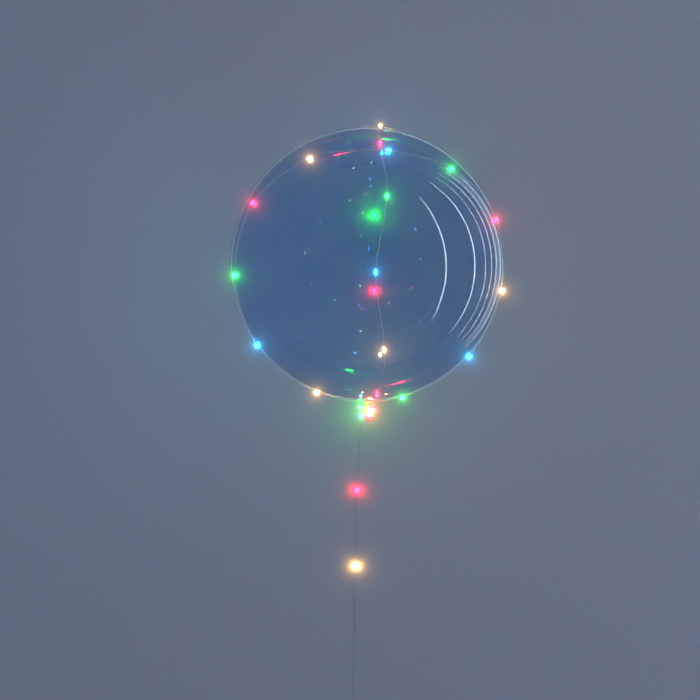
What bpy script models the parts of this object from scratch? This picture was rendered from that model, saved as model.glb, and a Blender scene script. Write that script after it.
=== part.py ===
"""Clear bubble balloon wound with a string of small coloured lamps, lying on its side.

Units are metres and +Z is up. The balloon's own axis lies along Y, with the crown at +Y and
the tied neck at -Y. The origin is the middle of the flat spot on which the balloon rests.
"""
import math

import bmesh
import bpy
from mathutils import Matrix, Vector

# Balloon: a sphere of clear film, gathered into a tied neck that ends in a flattened stem
BALLOON_RADIUS = 0.175
REST_SPOT_RADIUS = 0.020
NECK_RADIUS = 0.0045
SHOULDER_ANGLE = math.radians(5.0)
SHOULDER_LENGTH = 0.0075
PLEAT_COUNT = 9
PLEAT_DEPTH = 0.16
PLEAT_MIDDLE = 0.3 * SHOULDER_LENGTH
PLEAT_REACH = 0.6 * SHOULDER_LENGTH
STEM_LENGTH = 0.0066
STEM_WIDEN = 1.15
STEM_FLATTEN = 0.45
STEM_LEAN = 0.0045

# Light string: one thin wire that carries a lamp about every hundred millimetres
WIRE_DIAMETER = 0.0012
LAMP_RADIUS = 0.0018
LAMP_LENGTH = 0.0070
LAMP_TAPER = 0.82
LAMP_TAPER_PLACE = 0.62
LAMP_CLEAR = 0.001
GAP = 0.0003
STANDOFF = 0.0005

# Winding round the neck, which holds both rings
WINDING_TURNS = 5.75
WINDING_PITCH = WIRE_DIAMETER + GAP

# Wire's first end: it climbs the neck from the lamp below the winding to the left shoulder
START_TURN = math.radians(440.0)
START_TOP = 0.7 * SHOULDER_LENGTH
FIRST_LAMP_TURN = math.radians(31.5)
FIRST_LAMP_LEAD_IN = 0.9 * LAMP_LENGTH

# Quarter turn round the neck between the rings
CROSSING_TURN_DEPTH = 0.35 * SHOULDER_LENGTH

# Lift of the second ring where it passes over the first
CROSSING_LIFT = 3.0 * WIRE_DIAMETER
CROSSING_WIDTH = 8.0 * LAMP_RADIUS

# Spare lead, wound into a coil three turns wide and two high, and held by a tie
COIL_TURN_RADIUS = 6.0 * WIRE_DIAMETER
COIL_WIDE = 3
COIL_HIGH = 2
COIL_ROUNDING = 0.3 * WIRE_DIAMETER
TIE_THICKNESS = 0.0005
TIE_WIDTH = 0.0030

# Battery case at the end of the lead
CASE_WIDTH = 0.034
CASE_LENGTH = 0.064
CASE_HEIGHT = 0.015
CASE_WALL = 0.0015
CASE_CORNER = 0.004
LID_THICKNESS = 0.002
LID_LIP = 0.0025
GRIP_GROOVES = 4
GRIP_WIDTH = 0.0010
GRIP_DEPTH = 0.0006
GROMMET_LENGTH = 0.006
GROMMET_RADIUS = 0.0026
GROMMET_COLLAR = 0.25 * GROMMET_LENGTH
GROMMET_END_RADIUS = 0.62 * GROMMET_RADIUS
COIL_TO_CASE = 4.0 * GROMMET_LENGTH
LEVEL_LENGTH = 1.6 * GROMMET_LENGTH
LEAD_HEIGHT = 0.0055

# Facets
BALLOON_SEGMENTS = 36
BALLOON_ROW = math.radians(7.5)
LAMP_SEGMENTS = 7
COIL_SEGMENTS = 24
GROMMET_SEGMENTS = 12
CORNER_SEGMENTS = 4
SHOULDER_ROWS = (0.0, 0.12, 0.28, 0.5, 0.75, 1.0)
STEPS_BETWEEN_LAMPS = 5
START_TURN_STEPS = 16
CROSSING_TURN_STEPS = 6
WINDING_STEPS = 12
CURVE_STEPS = 24
TAIL_POINTS = 66
LEAD_END_POINTS = 12

# Seats of the lamps on the first ring, in degrees: round from the neck by the left side,
# and lean to the front
RING_ONE = (
    (21.5, 6.0), (54.0, 12.0), (86.0, 19.0), (119.0, 22.5), (152.0, 30.5), (190.0, 34.0),
    (220.5, 24.5), (250.5, 12.0), (281.0, 7.0), (312.0, 9.0), (345.0, 5.0),
)
RING_ONE_ENDS = ((5.5, 0.5), (354.5, 0.5))

# Seats on the second ring, in degrees: from the top over the crown and down the back,
# and lean to the right
RING_TWO = (
    (-65.0, 4.0), (-34.0, 6.5), (-0.5, 3.0), (30.5, 7.5), (60.5, 5.0), (92.0, 5.5),
    (126.5, 6.5), (161.0, 3.5), (194.5, 3.5), (226.0, 6.0), (258.0, -2.5),
)
RING_TWO_ENDS = ((-84.5, 0.5), (264.5, -0.5))

# Where the second ring passes under the balloon: turned from the top in degrees, and the share
# of the way between the two lamps there
REST_TURN = 180.0
REST_SHARE = 0.55

# Lamps on the winding, as turns from its start, and how many steps of the winding stay clear of one
WINDING_LAMPS = (0.67, 2.33, 4.42)
WINDING_CLEAR_STEPS = 1.5

# Free lead from the end of the winding: sideways, outwards, and share of the height of that end
DROP_POINTS = (
    (0.0002, 0.0010, 0.94), (0.0003, 0.0050, 0.80), (0.0004, 0.0090, 0.65), (0.0006, 0.0145, 0.42),
    (0.0008, 0.0195, 0.24), (0.0008, 0.0230, 0.14),
)

# The lead on the floor: sideways, outwards and height
FLOOR_POINTS = (
    (0.0007, 0.0310, 0.0088), (0.0004, 0.0455, 0.0024), (-0.0014, 0.0735, 0.0009),
    (-0.0036, 0.1035, 0.0011), (-0.0050, 0.1250, 0.0021), (-0.0056, 0.1485, 0.0011),
    (-0.0047, 0.1785, 0.0009), (-0.0050, 0.2075, 0.0011), (-0.0063, 0.2300, 0.0021),
    (-0.0074, 0.2535, 0.0011), (-0.0070, 0.2985, 0.0009), (-0.0080, 0.3485, 0.0009),
    (-0.0093, 0.3985, 0.0009), (-0.0098, 0.4215, 0.0011), (-0.0098, 0.4365, 0.0014),
)

# Points of the two lists that carry lamps
DROP_LAMPS = (2, 5)
FLOOR_LAMPS = (4, 8)

LAMP_COLOURS = (
    ("red", (1.0, 0.05, 0.10)),
    ("yellow", (1.0, 0.72, 0.25)),
    ("blue", (0.10, 0.55, 1.0)),
    ("green", (0.05, 1.0, 0.25)),
)

WIRE_RADIUS = WIRE_DIAMETER / 2
CENTRE = Vector((0.0, 0.0, math.sqrt(BALLOON_RADIUS ** 2 - REST_SPOT_RADIUS ** 2)))
INNER_LAYER = NECK_RADIUS + STANDOFF + WIRE_RADIUS
OUTER_LAYER = INNER_LAYER + WIRE_DIAMETER + STANDOFF
WINDING_START = SHOULDER_LENGTH
WINDING_END = WINDING_START + WINDING_TURNS * WINDING_PITCH
FIRST_LAMP_DEPTH = WINDING_END + WIRE_RADIUS + GAP + LAMP_RADIUS
NECK_END = FIRST_LAMP_DEPTH + LAMP_RADIUS + GAP


def clear_scene():
    for item in list(bpy.data.objects):
        bpy.data.objects.remove(item, do_unlink=True)


def material(name, colour, roughness, metallic=0.0, transmission=0.0, glow=0.0):
    made = bpy.data.materials.new(name)
    made.use_nodes = True
    shader = made.node_tree.nodes["Principled BSDF"]
    shader.inputs["Base Color"].default_value = (*colour, 1.0)
    shader.inputs["Roughness"].default_value = roughness
    shader.inputs["Metallic"].default_value = metallic
    shader.inputs["Transmission Weight"].default_value = transmission
    shader.inputs["Emission Color"].default_value = (*colour, 1.0)
    shader.inputs["Emission Strength"].default_value = glow
    made.diffuse_color = (*colour, 1.0)
    return made


def add_object(name, shape, finish):
    """Makes a named object from a bmesh, smooth where it is round."""
    bmesh.ops.recalc_face_normals(shape, faces=shape.faces)
    mesh = bpy.data.meshes.new(name)
    shape.to_mesh(mesh)
    shape.free()
    mesh.shade_smooth()
    mesh.set_sharp_from_angle(angle=math.radians(35))
    mesh.materials.append(finish)
    made = bpy.data.objects.new(name, mesh)
    bpy.context.collection.objects.link(made)
    return made


def turned(profile, segments, closed):
    """Spins a profile of (radius, height) round Z; a closed profile makes a bored piece."""
    shape = bmesh.new()
    corners = [shape.verts.new((radius, 0.0, height)) for radius, height in profile]
    edges = [shape.edges.new(pair) for pair in zip(corners, corners[1:])]
    if closed:
        edges.append(shape.edges.new((corners[-1], corners[0])))
    bmesh.ops.spin(shape, geom=corners + edges, axis=(0, 0, 1), cent=(0, 0, 0), angle=math.tau,
                   steps=segments, use_merge=True, use_duplicate=False)
    bmesh.ops.remove_doubles(shape, verts=shape.verts, dist=1e-7)
    return shape


def block(low, high):
    """A box between two corners, as a bmesh."""
    shape = bmesh.new()
    bmesh.ops.create_cube(shape, size=1.0)
    low, high = Vector(low), Vector(high)
    bmesh.ops.scale(shape, vec=high - low, verts=shape.verts)
    bmesh.ops.translate(shape, vec=(low + high) / 2, verts=shape.verts)
    return shape


def rounded_block(low, high, corner):
    """A box whose upright edges are rounded."""
    shape = block(low, high)
    upright = [edge for edge in shape.edges if abs(edge.verts[0].co.z - edge.verts[1].co.z) > 1e-6]
    bmesh.ops.bevel(shape, geom=upright, offset=corner, segments=CORNER_SEGMENTS, profile=0.5,
                    affect="EDGES", material=-1)
    return shape


def cutter(name, shape):
    made = add_object(name, shape, bpy.data.materials["guide"])
    made.hide_render = True
    made.display_type = "WIRE"
    return made


def cut(target, tool, operation="DIFFERENCE"):
    step = target.modifiers.new(tool.name, "BOOLEAN")
    step.operation = operation
    step.object = tool


def tube(name, points, radius, sides_step, finish):
    """A round wire through points, closed at both ends."""
    curve = bpy.data.curves.new(name, "CURVE")
    curve.dimensions = "3D"
    curve.bevel_depth = radius
    curve.bevel_resolution = sides_step
    curve.use_fill_caps = True
    spline = curve.splines.new("POLY")
    spline.points.add(len(points) - 1)
    for place, point in zip(spline.points, points):
        place.co = (*point, 1.0)
    curve.materials.append(finish)
    made = bpy.data.objects.new(name, curve)
    bpy.context.collection.objects.link(made)
    return made


def blend_between(rows, index, share):
    """Smooth curve through a list of tuples (Catmull-Rom), between rows index and index + 1."""
    before = rows[max(index - 1, 0)]
    start = rows[index]
    end = rows[index + 1]
    after = rows[min(index + 2, len(rows) - 1)]
    weights = (
        -0.5 * share + share ** 2 - 0.5 * share ** 3,
        1.0 - 2.5 * share ** 2 + 1.5 * share ** 3,
        0.5 * share + 2.0 * share ** 2 - 1.5 * share ** 3,
        -0.5 * share ** 2 + 0.5 * share ** 3,
    )
    return tuple(sum(w * row[axis] for w, row in zip(weights, (before, start, end, after)))
                 for axis in range(len(start)))


def neck_profile(depth):
    """Radius of the neck at a depth below the sphere's lowest point, along the balloon's axis."""
    edge_radius = BALLOON_RADIUS * math.sin(SHOULDER_ANGLE)
    edge_depth = -BALLOON_RADIUS * (1.0 - math.cos(SHOULDER_ANGLE))
    if depth >= SHOULDER_LENGTH:
        return NECK_RADIUS
    share = (depth - edge_depth) / (SHOULDER_LENGTH - edge_depth)
    return NECK_RADIUS + (edge_radius - NECK_RADIUS) * (1.0 - share) ** 3


def on_neck(radius, azimuth, depth):
    """Point round the neck: azimuth runs from +X over the top, depth runs away from the crown."""
    along = -(BALLOON_RADIUS + depth)
    return CENTRE + Vector((radius * math.cos(azimuth), along, radius * math.sin(azimuth)))


def ring_one_direction(around, lean):
    around, lean = math.radians(around), math.radians(lean)
    return Vector((-math.sin(around) * math.cos(lean), -math.cos(around) * math.cos(lean), math.sin(lean)))


def ring_two_direction(turn, lean):
    turn, lean = math.radians(turn), math.radians(lean)
    return Vector((math.sin(lean), math.sin(turn) * math.cos(lean), math.cos(turn) * math.cos(lean)))


def over_film(direction, height):
    """Point above the film, never lower than a wire can lie on the floor."""
    point = CENTRE + direction * (BALLOON_RADIUS + height)
    point.z = max(point.z, WIRE_RADIUS + GAP)
    return point


def ring_route(seats, ends, direction, extra):
    """Wire round the balloon through its lamp seats; extra(point) lifts it over another wire."""
    rows = [ends[0], *seats, ends[1]]
    route = []
    for index in range(len(rows) - 1):
        seated = 0 < index
        height = STANDOFF + (LAMP_RADIUS if seated else WIRE_RADIUS)
        route.append((over_film(direction(*rows[index]), height), seated))
        for step in range(1, STEPS_BETWEEN_LAMPS):
            way = direction(*blend_between(rows, index, step / STEPS_BETWEEN_LAMPS))
            lying = over_film(way, STANDOFF + WIRE_RADIUS)
            route.append((over_film(way, STANDOFF + WIRE_RADIUS + extra(lying)), False))
    route.append((over_film(direction(*rows[-1]), STANDOFF + WIRE_RADIUS), False))
    return route


def no_lift(_point):
    return 0.0


def crossing_lift(point):
    """Lift of the second ring where it passes over the first, beside the first ring's crown lamp."""
    crossing = over_film(ring_one_direction(*RING_ONE[5]), 0.0)
    away = (point - crossing).length / CROSSING_WIDTH
    return CROSSING_LIFT * math.exp(-away ** 2)


def start_turn_route():
    """Wire's first end: its lamp lies below the winding, and it climbs the neck to the left shoulder."""
    route = []
    for step in range(START_TURN_STEPS + 1):
        left = 1.0 - step / START_TURN_STEPS
        azimuth = math.pi - START_TURN * left
        depth = START_TOP + (FIRST_LAMP_DEPTH - START_TOP) * left ** 0.7
        radius = INNER_LAYER + (neck_profile(depth) - NECK_RADIUS)
        route.append((on_neck(radius, azimuth, depth), False))
    lamp_azimuth = math.pi - START_TURN - FIRST_LAMP_TURN
    seat = on_neck(NECK_RADIUS + GAP + LAMP_RADIUS, lamp_azimuth, FIRST_LAMP_DEPTH)
    tangent = Vector((-math.sin(lamp_azimuth), 0.0, math.cos(lamp_azimuth)))
    lead_in = seat - tangent * FIRST_LAMP_LEAD_IN
    return [(lead_in, False), (seat, True)] + route[1:]


def crossing_turn_route():
    """Quarter turn round the neck from the end of the first ring to the start of the second."""
    route = []
    for step in range(1, CROSSING_TURN_STEPS):
        share = step / CROSSING_TURN_STEPS
        depth = CROSSING_TURN_DEPTH * (1.0 + math.sin(math.pi * share))
        radius = INNER_LAYER + (neck_profile(depth) - NECK_RADIUS)
        route.append((on_neck(radius, share * math.pi / 2, depth), False))
    return route


def winding_route():
    """Outer layer round the neck, which lifts at each of its lamps."""
    steps = [step / WINDING_STEPS for step in range(round(WINDING_TURNS * WINDING_STEPS) + 1)]
    stations = [(turns, False) for turns in steps
                if all(abs(turns - lamp) * WINDING_STEPS > WINDING_CLEAR_STEPS for lamp in WINDING_LAMPS)]
    stations += [(lamp, True) for lamp in WINDING_LAMPS]
    seat_radius = OUTER_LAYER + WIRE_RADIUS + GAP + LAMP_RADIUS
    route = []
    for turns, seated in sorted(stations):
        radius = seat_radius if seated else OUTER_LAYER
        depth = WINDING_START + turns * WINDING_PITCH
        route.append((on_neck(radius, 1.5 * math.pi + turns * math.tau, depth), seated))
    return route


def threaded(route):
    """Straightens the wire through each lamp.

    Gives the wire's points, and each lamp's middle and direction.
    """
    points = []
    seats = []
    half = LAMP_LENGTH / 2 + LAMP_CLEAR
    for index, (place, seated) in enumerate(route):
        if not seated:
            points.append(place)
            continue
        along = (route[index + 1][0] - route[index - 1][0]).normalized()
        seats.append((place, along))
        points += [place - along * half, place + along * half]
    return points, seats


def tail_rows():
    """Route points of the free lead as (x, y, z), and the rows that carry lamps."""
    end = on_neck(OUTER_LAYER, math.pi, WINDING_END)
    first = (end.x, end.y, end.z - GAP)
    drop = [(end.x + side, end.y - out, share * end.z) for side, out, share in DROP_POINTS]
    floor = [(end.x + side, end.y - out, height) for side, out, height in FLOOR_POINTS]
    lamps = [1 + row for row in DROP_LAMPS] + [1 + len(drop) + row for row in FLOOR_LAMPS]
    return [first, *drop, *floor], lamps


def even_points(rows, count):
    """Points at even distances along the smooth curve through rows."""
    fine = [Vector(rows[0])]
    for index in range(len(rows) - 1):
        fine += [Vector(blend_between(rows, index, step / CURVE_STEPS))
                 for step in range(1, CURVE_STEPS + 1)]
    reach = [0.0]
    for before, after in zip(fine, fine[1:]):
        reach.append(reach[-1] + (after - before).length)
    picked = []
    index = 0
    for step in range(count):
        wanted = reach[-1] * step / (count - 1)
        while index < len(fine) - 2 and reach[index + 1] < wanted:
            index += 1
        share = (wanted - reach[index]) / (reach[index + 1] - reach[index])
        picked.append(fine[index].lerp(fine[index + 1], share))
    return picked


def tail_route():
    """Free lead, straight where it passes through its lamps."""
    rows, lamps = tail_rows()
    route = [(point, False) for point in even_points(rows, TAIL_POINTS)]
    for row in lamps:
        seat = Vector(rows[row])
        route = [item for item in route if (item[0] - seat).length > LAMP_LENGTH]
        away = [(point - seat).length for point, _ in route]
        nearest = min(range(len(route) - 1), key=lambda i: away[i] + away[i + 1])
        route.insert(nearest + 1, (seat, True))
    return route


def balloon_profile():
    """Half outline from the crown to the end of the stem, as (radius, height) with the crown up."""
    rows = int(math.degrees(math.pi - SHOULDER_ANGLE) / math.degrees(BALLOON_ROW))
    profile = [(BALLOON_RADIUS * math.sin(row * BALLOON_ROW), BALLOON_RADIUS * math.cos(row * BALLOON_ROW))
               for row in range(rows + 1)]
    profile[0] = (0.0, BALLOON_RADIUS)
    edge_depth = -BALLOON_RADIUS * (1.0 - math.cos(SHOULDER_ANGLE))
    for share in SHOULDER_ROWS:
        depth = edge_depth + (SHOULDER_LENGTH - edge_depth) * share
        profile.append((neck_profile(depth), -(BALLOON_RADIUS + depth)))
    profile.append((NECK_RADIUS, -(BALLOON_RADIUS + NECK_END)))
    stem = ((1.0, 0.35), (STEM_WIDEN, 0.75), (0.95 * STEM_WIDEN, 0.93), (0.7 * STEM_WIDEN, 1.0), (0.0, 1.0))
    profile += [(NECK_RADIUS * wide, -(BALLOON_RADIUS + NECK_END + STEM_LENGTH * share))
                for wide, share in stem]
    return profile


def gather(shape):
    """Pleats the shoulder where it is drawn into the neck, flattens the stem and leans it aside."""
    for vert in shape.verts:
        depth = -vert.co.z - BALLOON_RADIUS
        pleat = max(0.0, 1.0 - abs(depth - PLEAT_MIDDLE) / PLEAT_REACH)
        around = math.atan2(vert.co.y, vert.co.x)
        narrow = 1.0 - PLEAT_DEPTH * pleat * (0.5 - 0.5 * math.cos(PLEAT_COUNT * around))
        along_stem = min(1.0, max(0.0, (depth - NECK_END) / STEM_LENGTH))
        vert.co.x = vert.co.x * narrow + STEM_LEAN * along_stem
        vert.co.y *= narrow * (1.0 - (1.0 - STEM_FLATTEN) * along_stem)


def make_balloon(film):
    """Balloon on its side, flat where it rests and dented over the strand that passes under it."""
    shape = turned(balloon_profile(), BALLOON_SEGMENTS, closed=False)
    gather(shape)
    bmesh.ops.rotate(shape, cent=(0, 0, 0), matrix=Matrix.Rotation(-math.pi / 2, 3, "X"), verts=shape.verts)
    bmesh.ops.translate(shape, vec=CENTRE, verts=shape.verts)
    balloon = add_object("balloon", shape, film)
    reach = BALLOON_RADIUS
    cut(balloon, cutter("rest_spot_cut", block((-reach, -reach, -reach), (reach, reach, 0.0))))
    under_seat = 1 + max(index for index, seat in enumerate(RING_TWO) if seat[0] < REST_TURN)
    lowest = blend_between([RING_TWO_ENDS[0], *RING_TWO, RING_TWO_ENDS[1]], under_seat, REST_SHARE)
    middle = over_film(ring_two_direction(*lowest), 0.0).x
    half = WIRE_DIAMETER / 2 + 3 * GAP
    top = WIRE_DIAMETER + 3 * GAP
    length = 2 * REST_SPOT_RADIUS
    dent = block((middle - half, -length, -top), (middle + half, length, top))
    cut(balloon, cutter("wire_dent_cut", dent))


def make_lamps(seats):
    """One drop of resin on each seat, bored for the wire."""
    half = LAMP_LENGTH / 2
    bore = WIRE_RADIUS + GAP
    taper = LAMP_TAPER * LAMP_RADIUS
    rise = LAMP_TAPER_PLACE * half
    profile = ((bore, -half), (taper, -rise), (LAMP_RADIUS, 0.0), (taper, rise), (bore, half))
    for number, (place, along) in enumerate(seats):
        colour_name, colour = LAMP_COLOURS[number % len(LAMP_COLOURS)]
        finish = bpy.data.materials.get("lamp_" + colour_name)
        if finish is None:
            finish = material("lamp_" + colour_name, colour, 0.25, glow=3.0)
        drop = turned(profile, LAMP_SEGMENTS, closed=True)
        lamp = add_object(f"lamp_{number + 1:02d}_{colour_name}", drop, finish)
        lamp.location = place
        lamp.rotation_mode = "QUATERNION"
        lamp.rotation_quaternion = along.to_track_quat("Z", "Y")


def make_coil(entry, finish, tie_finish):
    """Ring of the coiled lead beside its entry, and the tie round it."""
    width = COIL_WIDE * WIRE_DIAMETER
    height = COIL_HIGH * WIRE_DIAMETER
    low = TIE_THICKNESS + GAP
    inner, outer = COIL_TURN_RADIUS - width / 2, COIL_TURN_RADIUS + width / 2
    soft = COIL_ROUNDING
    profile = ((inner, soft), (inner + soft, 0.0), (outer - soft, 0.0), (outer, soft),
               (outer, height - soft), (outer - soft, height), (inner + soft, height),
               (inner, height - soft))
    beside = entry.x - outer + WIRE_RADIUS
    beyond = entry.y - WIRE_RADIUS - math.sqrt(2.0 * outer * WIRE_DIAMETER)
    centre = Vector((beside, beyond, low))
    shape = turned(profile, COIL_SEGMENTS, closed=True)
    bmesh.ops.translate(shape, vec=centre, verts=shape.verts)
    add_object("lead_coil", shape, finish)
    hole_low = Vector((centre.x - outer - GAP, centre.y - TIE_WIDTH, low - GAP))
    hole_high = Vector((centre.x - inner + GAP, centre.y + TIE_WIDTH, low + height + GAP))
    wall = Vector((TIE_THICKNESS, -TIE_WIDTH / 2, TIE_THICKNESS))
    tie = add_object("coil_tie", block(hole_low - wall, hole_high + wall), tie_finish)
    cut(tie, cutter("coil_tie_hole", block(hole_low, hole_high)))
    return centre


def make_case(front, middle_x, finish, soft_finish):
    """Battery case: an open box, its push-on lid, and the grommet that the lead goes in by."""
    back = front - CASE_LENGTH
    left, right = middle_x - CASE_WIDTH / 2, middle_x + CASE_WIDTH / 2
    outside = rounded_block((left, back, 0.0), (right, front, CASE_HEIGHT), CASE_CORNER)
    case = add_object("battery_case", outside, finish)
    inner_corner = CASE_CORNER - CASE_WALL
    inside = rounded_block((left + CASE_WALL, back + CASE_WALL, CASE_WALL),
                           (right - CASE_WALL, front - CASE_WALL, CASE_HEIGHT + CASE_WALL), inner_corner)
    cut(case, cutter("battery_space", inside))
    bore = WIRE_RADIUS + GAP
    drill = ((0.0, -CASE_WALL), (bore, -CASE_WALL), (bore, CASE_WALL), (0.0, CASE_WALL))
    hole = turned(drill, GROMMET_SEGMENTS, closed=False)
    toward_front = Matrix.Rotation(-math.pi / 2, 3, "X")
    bmesh.ops.rotate(hole, cent=(0, 0, 0), matrix=toward_front, verts=hole.verts)
    bmesh.ops.translate(hole, vec=(middle_x, front - CASE_WALL / 2, LEAD_HEIGHT), verts=hole.verts)
    cut(case, cutter("lead_hole", hole))
    lid_low = CASE_HEIGHT + GAP
    plate = rounded_block((left, back, lid_low), (right, front, lid_low + LID_THICKNESS), CASE_CORNER)
    lid = add_object("battery_lid", plate, finish)
    edge = CASE_WALL + GAP
    lip = rounded_block((left + edge, back + edge, CASE_HEIGHT - LID_LIP),
                        (right - edge, front - edge, lid_low + LID_THICKNESS / 2), CASE_CORNER - edge)
    cut(lid, cutter("lid_lip", lip), "UNION")
    hollow_edge = edge + CASE_WALL
    hollow = block((left + hollow_edge, back + hollow_edge, CASE_HEIGHT - 2 * LID_LIP),
                   (right - hollow_edge, front - hollow_edge, lid_low))
    cut(lid, cutter("lid_hollow", hollow))
    top = lid_low + LID_THICKNESS
    for number in range(GRIP_GROOVES):
        place = back + CASE_CORNER + (2 * number + 1) * GRIP_WIDTH
        groove = block((middle_x - CASE_WIDTH / 4, place, top - GRIP_DEPTH),
                       (middle_x + CASE_WIDTH / 4, place + GRIP_WIDTH, top + GRIP_DEPTH))
        cut(lid, cutter(f"grip_groove_{number + 1}", groove))
    boss = ((bore, 0.0), (GROMMET_RADIUS, 0.0), (GROMMET_RADIUS, GROMMET_COLLAR),
            (GROMMET_END_RADIUS, GROMMET_LENGTH), (bore, GROMMET_LENGTH))
    shape = turned(boss, GROMMET_SEGMENTS, closed=True)
    bmesh.ops.rotate(shape, cent=(0, 0, 0), matrix=toward_front, verts=shape.verts)
    bmesh.ops.translate(shape, vec=(middle_x, front + GAP, LEAD_HEIGHT), verts=shape.verts)
    add_object("lead_grommet", shape, soft_finish)


def build():
    clear_scene()
    material("guide", (0.5, 0.5, 0.5), 0.5)
    film = material("clear_film", (0.85, 0.93, 1.0), 0.05, transmission=0.9)
    wire = material("wire_lacquer", (0.55, 0.58, 0.62), 0.3, metallic=0.6)
    plastic = material("case_plastic", (0.75, 0.76, 0.78), 0.4)
    rubber = material("soft_plastic", (0.12, 0.12, 0.13), 0.6)

    make_balloon(film)
    on_balloon = (start_turn_route()
                  + ring_route(RING_ONE, RING_ONE_ENDS, ring_one_direction, no_lift)
                  + crossing_turn_route()
                  + ring_route(RING_TWO, RING_TWO_ENDS, ring_two_direction, crossing_lift)
                  + winding_route())
    points, seats = threaded(on_balloon)
    tube("light_wire", points, WIRE_RADIUS, 1, wire)
    tail_points, tail_seats = threaded(tail_route())
    tube("lead_wire", tail_points, WIRE_RADIUS, 2, wire)
    make_lamps(seats + tail_seats)

    coil_entry = tail_points[-1]
    coil_centre = make_coil(coil_entry, wire, rubber)
    coil_low = TIE_THICKNESS + GAP
    outer_turn = coil_centre.x + COIL_TURN_RADIUS + (COIL_WIDE - 1) * WIRE_RADIUS
    reach = coil_entry.y - coil_centre.y
    leave = Vector((outer_turn, coil_centre.y - reach, coil_low + WIRE_RADIUS))
    case_front = leave.y - COIL_TO_CASE
    rows = [tuple(leave), (leave.x, leave.y - GROMMET_LENGTH, leave.z + WIRE_RADIUS),
            (leave.x, case_front + LEVEL_LENGTH, LEAD_HEIGHT),
            (leave.x, case_front + GROMMET_LENGTH, LEAD_HEIGHT),
            (leave.x, case_front - 2 * CASE_WALL, LEAD_HEIGHT)]
    tube("lead_end", even_points(rows, LEAD_END_POINTS), WIRE_RADIUS, 2, wire)
    make_case(case_front, leave.x, plastic, rubber)


build()
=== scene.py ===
"""Looks of the clear bubble balloon and its string of small lamps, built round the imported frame."""
import math

import bmesh
import bpy
from mathutils import Matrix, Vector, noise


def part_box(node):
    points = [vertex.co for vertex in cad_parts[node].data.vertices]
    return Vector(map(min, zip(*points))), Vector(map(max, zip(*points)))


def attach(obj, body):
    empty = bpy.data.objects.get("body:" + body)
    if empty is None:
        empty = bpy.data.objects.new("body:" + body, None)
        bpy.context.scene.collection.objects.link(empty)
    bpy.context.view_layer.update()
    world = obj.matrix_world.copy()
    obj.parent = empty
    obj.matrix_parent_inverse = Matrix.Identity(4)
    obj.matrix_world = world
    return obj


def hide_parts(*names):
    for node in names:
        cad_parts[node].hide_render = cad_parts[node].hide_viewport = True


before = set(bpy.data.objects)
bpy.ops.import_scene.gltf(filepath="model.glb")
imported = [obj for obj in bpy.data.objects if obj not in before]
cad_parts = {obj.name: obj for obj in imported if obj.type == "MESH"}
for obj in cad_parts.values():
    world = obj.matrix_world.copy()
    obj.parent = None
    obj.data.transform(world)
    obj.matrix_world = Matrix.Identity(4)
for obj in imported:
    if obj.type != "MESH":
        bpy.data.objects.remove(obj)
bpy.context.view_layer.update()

# Sizes shared with the solids, in metres
BALLOON_LOW, BALLOON_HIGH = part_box("balloon")
BALLOON_RADIUS = (BALLOON_HIGH[0] - BALLOON_LOW[0]) / 2
REST_SPOT_RADIUS = 0.020
NECK_RADIUS = 0.0045
SHOULDER_ANGLE = math.radians(5.0)
SHOULDER_LENGTH = 0.0075
STEM_LENGTH = 0.0066
STEM_WIDEN = 1.15
STEM_FLATTEN = 0.45
STEM_LEAN = 0.0045
WIRE_DIAMETER = 0.0012
WIRE_RADIUS = WIRE_DIAMETER / 2
LAMP_RADIUS = 0.0018
LAMP_LENGTH = 0.0070
GAP = 0.0003
STANDOFF = 0.0005
WINDING_TURNS = 5.75
WINDING_PITCH = WIRE_DIAMETER + GAP
START_TURN = math.radians(440.0)
START_TOP = 0.7 * SHOULDER_LENGTH
FIRST_LAMP_TURN = math.radians(31.5)
FIRST_LAMP_LEAD_IN = 0.9 * LAMP_LENGTH
CROSSING_TURN_DEPTH = 0.35 * SHOULDER_LENGTH
CROSSING_LIFT = 3.0 * WIRE_DIAMETER
CROSSING_WIDTH = 8.0 * LAMP_RADIUS
LAMP_CLEAR = 0.001
STEPS_BETWEEN_LAMPS = 5
START_TURN_STEPS = 16
CROSSING_TURN_STEPS = 6
CENTRE = Vector((0.0, 0.0, math.sqrt(BALLOON_RADIUS ** 2 - REST_SPOT_RADIUS ** 2)))

# Layers and levels of the wire on the neck
INNER_LAYER = NECK_RADIUS + STANDOFF + WIRE_RADIUS
OUTER_LAYER = INNER_LAYER + WIRE_DIAMETER + STANDOFF
WINDING_START = SHOULDER_LENGTH
WINDING_END = WINDING_START + WINDING_TURNS * WINDING_PITCH
FIRST_LAMP_DEPTH = WINDING_END + WIRE_RADIUS + GAP + LAMP_RADIUS
NECK_END = FIRST_LAMP_DEPTH + LAMP_RADIUS + GAP

# Lamps of the two rings as (degrees along the ring, degrees of lean), and of the winding as its
# turns, the same as in the solids
RING_ONE = (
    (21.5, 6.0), (54.0, 12.0), (86.0, 19.0), (119.0, 22.5), (152.0, 30.5), (190.0, 34.0),
    (220.5, 24.5), (250.5, 12.0), (281.0, 7.0), (312.0, 9.0), (345.0, 5.0),
)
RING_ONE_ENDS = ((5.5, 0.5), (354.5, 0.5))
RING_TWO = (
    (-65.0, 4.0), (-34.0, 6.5), (-0.5, 3.0), (30.5, 7.5), (60.5, 5.0), (92.0, 5.5),
    (126.5, 6.5), (161.0, 3.5), (194.5, 3.5), (226.0, 6.0), (258.0, -2.5),
)
RING_TWO_ENDS = ((-84.5, 0.5), (264.5, -0.5))
WINDING_LAMPS = (0.67, 2.33, 4.42)
WINDING_STEPS = 12
WINDING_CLEAR_STEPS = 1.5

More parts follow.
